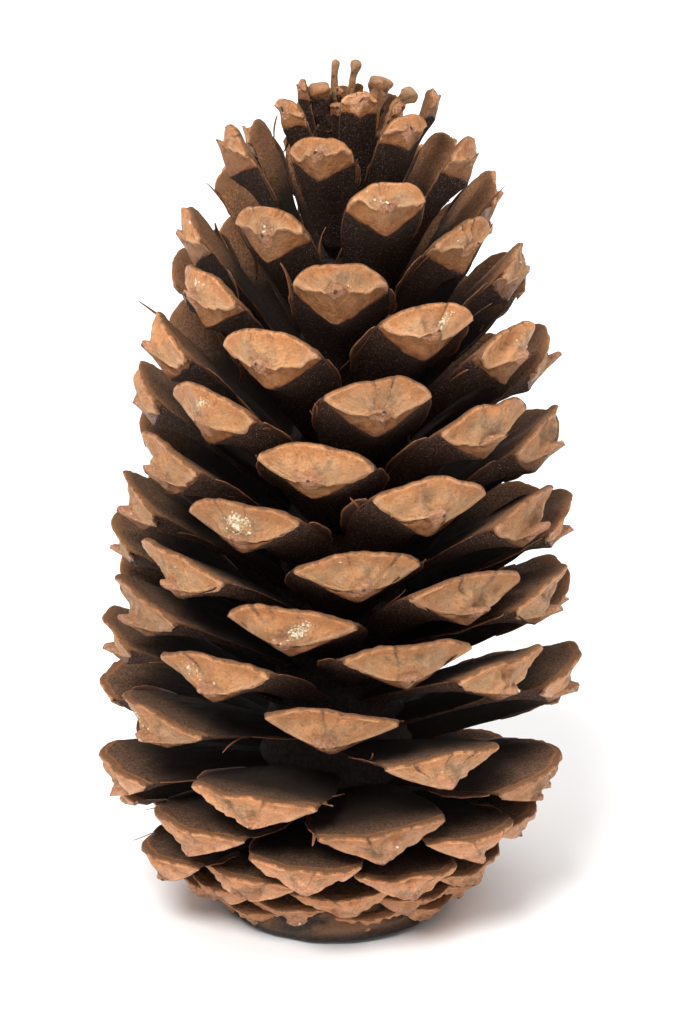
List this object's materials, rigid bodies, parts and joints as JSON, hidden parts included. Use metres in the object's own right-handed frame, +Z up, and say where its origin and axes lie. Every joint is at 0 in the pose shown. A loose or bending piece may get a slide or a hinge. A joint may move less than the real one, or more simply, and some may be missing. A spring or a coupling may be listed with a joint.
{
  "type": "pine cone",
  "caption": "Open, dry pine cone: woody scales in a spiral round a short axis, closed and flattened at the base so that it stands upright.",
  "frame": {"origin": "middle of the base, at the surface that the cone stands on", "axes": "+Z up along the cone's axis from its stalk scar to its tip; -Y is the side that the picture shows"},
  "size_m": [0.0484, 0.0474, 0.0887],
  "materials": {
    "cone_bark": "dry, satin, woody; tan scale ends, near-black undersides"
  },
  "bodies": {
    "root": {"pine_cone": "cone_bark"}
  },
  "joints": []
}
